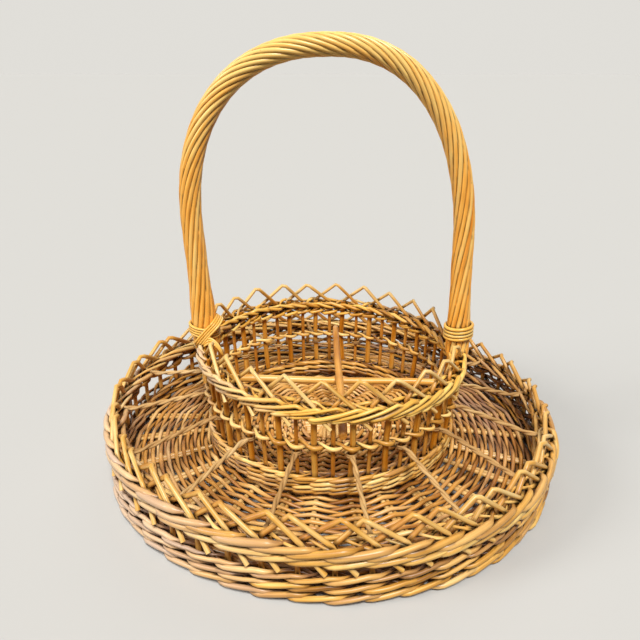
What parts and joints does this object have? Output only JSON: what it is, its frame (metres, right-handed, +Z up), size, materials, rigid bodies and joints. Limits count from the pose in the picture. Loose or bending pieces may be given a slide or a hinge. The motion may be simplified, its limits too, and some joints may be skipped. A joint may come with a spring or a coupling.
{
  "type": "bottle and glass carrier basket",
  "caption": "Round woven willow carrier: a low tray with cord-divided places for glasses round a raised ring for bottles, with crossed rods, looped borders and a bow handle.",
  "frame": {"origin": "middle of the foot, on the surface that the carrier stands on", "axes": "+Z up, +X to the right along the bow handle, the pictured side faces -Y"},
  "size_m": [0.3938, 0.3938, 0.3501],
  "materials": {
    "willow_weavers": "buff willow rods, satin, with tone changing from rod to rod",
    "willow_floor": "buff willow rods, satin, a little greyer",
    "willow_stakes": "honey brown willow rods, satin",
    "handle_rods": "golden willow rods, smooth, satin",
    "cane_lashing": "pale split cane, satin",
    "cross_rods": "stout willow rods, satin",
    "divider_cord": "twisted straw cord, dull"
  },
  "bodies": {
    "root": {"floor_mat": "willow_floor", "foot_ring": "willow_weavers", "outer_weave_1": "willow_weavers", "outer_weave_2": "willow_weavers", "outer_weave_3": "willow_weavers", "outer_weave_4": "willow_weavers", "outer_wale_1": "willow_weavers", "outer_wale_2": "willow_weavers", "outer_wale_3": "willow_weavers", "outer_stakes_border": "willow_stakes", "inner_foot_weave_1": "willow_weavers", "inner_foot_weave_2": "willow_weavers", "inner_foot_weave_3": "willow_weavers", "inner_mid_weave_1": "willow_weavers", "inner_mid_weave_2": "willow_weavers", "inner_wale_1": "willow_weavers", "inner_wale_2": "willow_weavers", "inner_wale_3": "willow_weavers", "inner_stakes_border_back": "willow_stakes", "inner_stakes_border_front": "willow_stakes", "handle_core": "handle_rods", "handle_strand_1": "handle_rods", "handle_strand_2": "handle_rods", "handle_strand_3": "handle_rods", "handle_strand_4": "handle_rods", "handle_strand_5": "handle_rods", "handle_strand_6": "handle_rods", "handle_strand_7": "handle_rods", "handle_strand_8": "handle_rods", "lashing_left": "cane_lashing", "lashing_right": "cane_lashing", "cross_rod_lower": "cross_rods", "cross_rod_upper": "cross_rods", "divider_cord_1": "divider_cord", "divider_cord_2": "divider_cord", "divider_cord_3": "divider_cord", "divider_cord_4": "divider_cord", "divider_cord_5": "divider_cord", "divider_cord_6": "divider_cord", "divider_cord_7": "divider_cord", "divider_cord_8": "divider_cord", "divider_cord_9": "divider_cord", "divider_cord_10": "divider_cord", "divider_cord_11": "divider_cord", "divider_cord_12": "divider_cord", "divider_cord_13": "divider_cord", "divider_cord_14": "divider_cord", "divider_cord_15": "divider_cord", "divider_cord_16": "divider_cord"}
  },
  "joints": []
}
